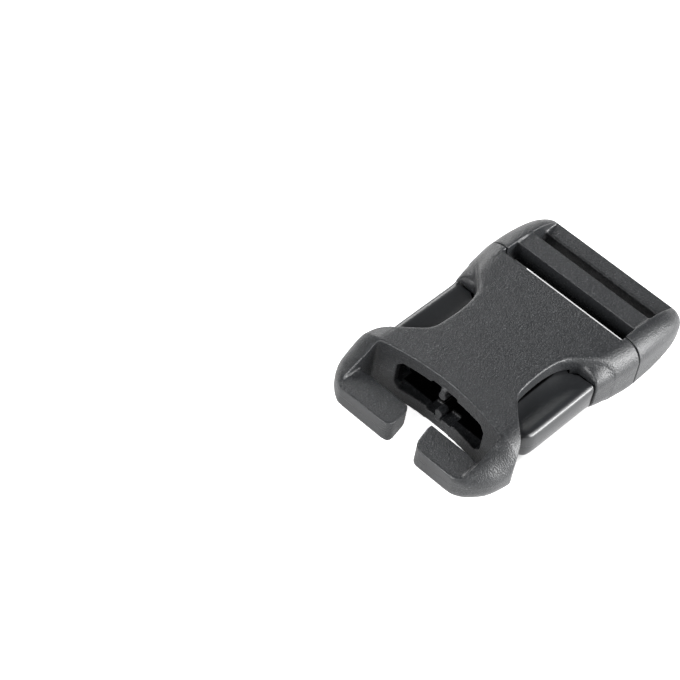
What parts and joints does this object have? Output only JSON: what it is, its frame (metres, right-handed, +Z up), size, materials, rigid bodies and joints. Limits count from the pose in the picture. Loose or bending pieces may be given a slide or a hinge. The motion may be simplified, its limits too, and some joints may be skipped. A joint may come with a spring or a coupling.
{
  "type": "side release buckle",
  "caption": "Fastened plastic side release buckle with flat panels, a split loop at one end and an adjuster for webbing at the other.",
  "frame": {"origin": "on the surface that the buckle rests on, below the middle of its bounding box", "axes": "+X across the buckle, +Y from the split loop to the adjuster bars, +Z up through the flat panels"},
  "size_m": [0.0356, 0.0574, 0.0118],
  "materials": {
    "housing_plastic": "fine grained moulded acetal, charcoal grey",
    "latch_plastic": "fine grained moulded acetal, charcoal grey, smoother on the release pads"
  },
  "bodies": {
    "root": {"socket_body": "housing_plastic", "latch_body": "latch_plastic"}
  },
  "joints": []
}
